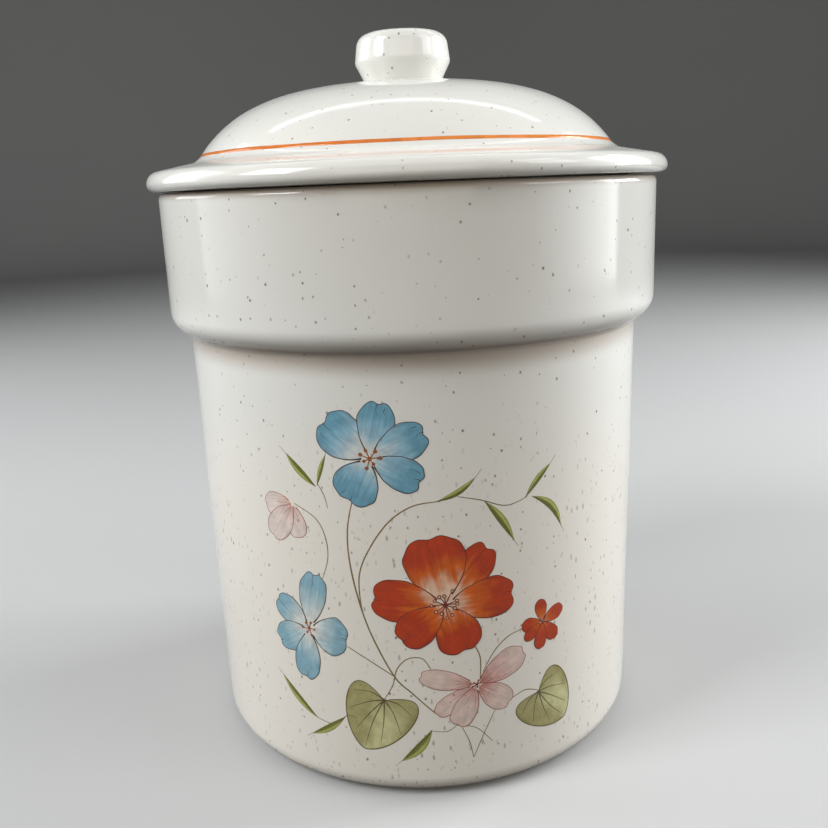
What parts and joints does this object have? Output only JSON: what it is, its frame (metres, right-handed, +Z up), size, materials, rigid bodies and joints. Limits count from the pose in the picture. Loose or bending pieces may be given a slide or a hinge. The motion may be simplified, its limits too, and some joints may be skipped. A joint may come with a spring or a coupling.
{
  "type": "food canister",
  "caption": "Round stoneware food canister with a wide collar, a domed stopper lid with a hollow knob, a soft seal and a fired floral spray on the front.",
  "frame": {"origin": "middle of the foot, on the surface the canister stands on", "axes": "+Z up along the jar's axis of revolution, -Y towards the decorated front, +X to the right of the front"},
  "size_m": [0.175, 0.175, 0.2397],
  "materials": {
    "speckled_glaze": "glossy cream glaze with iron specks",
    "seal_silicone": "satin translucent white",
    "band_enamel": "glossy",
    "blue_enamel": "glossy",
    "orange_enamel": "glossy",
    "pink_enamel": "glossy",
    "leaf_enamel": "glossy",
    "stem_enamel": "glossy"
  },
  "bodies": {
    "canister": {"canister_body": "speckled_glaze", "large_blue_flower": "blue_enamel", "small_blue_flower": "blue_enamel", "large_orange_flower": "orange_enamel", "small_orange_flower": "orange_enamel", "pink_flower": "pink_enamel", "pink_bud": "pink_enamel", "left_broad_leaf": "leaf_enamel", "right_broad_leaf": "leaf_enamel", "narrow_leaves": "leaf_enamel", "stems": "stem_enamel"},
    "seal": {"lid_seal": "seal_silicone"},
    "lid": {"lid": "speckled_glaze", "lid_knob": "speckled_glaze", "lid_band": "band_enamel"}
  },
  "joints": [
    {"name": "lid_lift", "type": "slide", "parent": "canister", "child": "seal", "axis": [0, 0, 1], "range_m": [0, 0.15]},
    {"name": "lid_turn", "type": "hinge", "parent": "seal", "child": "lid", "pos_m": [0, 0, 0.19], "axis": [0, 0, 1], "continuous": true}
  ]
}
